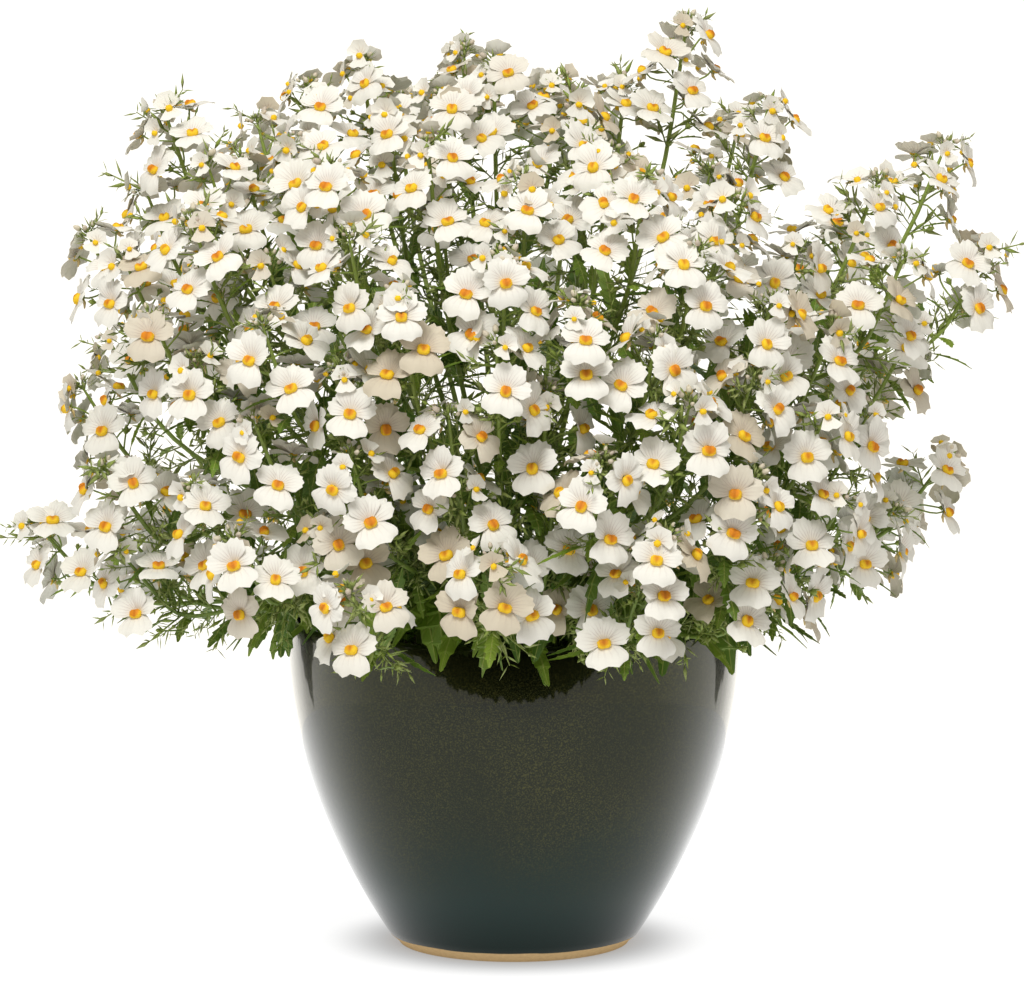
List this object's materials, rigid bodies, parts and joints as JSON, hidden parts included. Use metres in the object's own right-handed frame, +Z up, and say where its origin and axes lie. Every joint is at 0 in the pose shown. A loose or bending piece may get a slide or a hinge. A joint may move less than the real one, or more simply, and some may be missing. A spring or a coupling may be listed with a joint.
{
  "type": "potted nemesia",
  "caption": "Rounded bush of two-lipped white flowers in clusters on branching green stems, growing in a deep glazed pot that swells from a narrow foot.",
  "frame": {"origin": "centre of the pot's flat underside, on the surface it stands on", "axes": "+Z up along the pot's axis, -Y towards the front that the picture shows, +X to the right of that front"},
  "size_m": [0.4855, 0.4573, 0.4689],
  "materials": {
    "glaze": "glossy near-black glaze with fine speckles, turning teal green toward the foot, with a narrow unglazed tan band at the base",
    "soil": "dark brown crumbly potting mix of peat and bark",
    "plant": "soft white petals with an orange and yellow palate, on green stems with green leaves"
  },
  "bodies": {
    "root": {"pot": "glaze", "soil": "soil", "flowering_stem_01": "plant", "flowering_stem_02": "plant", "flowering_stem_03": "plant", "flowering_stem_04": "plant", "flowering_stem_05": "plant", "flowering_stem_06": "plant", "flowering_stem_07": "plant", "flowering_stem_08": "plant", "flowering_stem_09": "plant", "flowering_stem_10": "plant", "flowering_stem_11": "plant", "flowering_stem_12": "plant", "flowering_stem_13": "plant", "flowering_stem_14": "plant", "flowering_stem_15": "plant", "flowering_stem_16": "plant", "flowering_stem_17": "plant", "flowering_stem_18": "plant", "flowering_stem_19": "plant", "flowering_stem_20": "plant", "flowering_stem_21": "plant", "flowering_stem_22": "plant", "flowering_stem_23": "plant", "flowering_stem_24": "plant", "flowering_stem_25": "plant", "flowering_stem_26": "plant", "flowering_stem_27": "plant", "flowering_stem_28": "plant", "flowering_stem_29": "plant", "flowering_stem_30": "plant", "flowering_stem_31": "plant", "flowering_stem_32": "plant", "flowering_stem_33": "plant", "flowering_stem_34": "plant", "flowering_stem_35": "plant", "flowering_stem_36": "plant", "flowering_stem_37": "plant", "flowering_stem_38": "plant", "flowering_stem_39": "plant", "flowering_stem_40": "plant", "flowering_stem_41": "plant", "flowering_stem_42": "plant", "flowering_stem_43": "plant", "flowering_stem_44": "plant", "flowering_stem_45": "plant", "flowering_stem_46": "plant", "flowering_stem_47": "plant", "flowering_stem_48": "plant", "flowering_stem_49": "plant", "flowering_stem_50": "plant", "flowering_stem_51": "plant", "flowering_stem_52": "plant", "flowering_stem_53": "plant", "flowering_stem_54": "plant", "flowering_stem_55": "plant"}
  },
  "joints": []
}
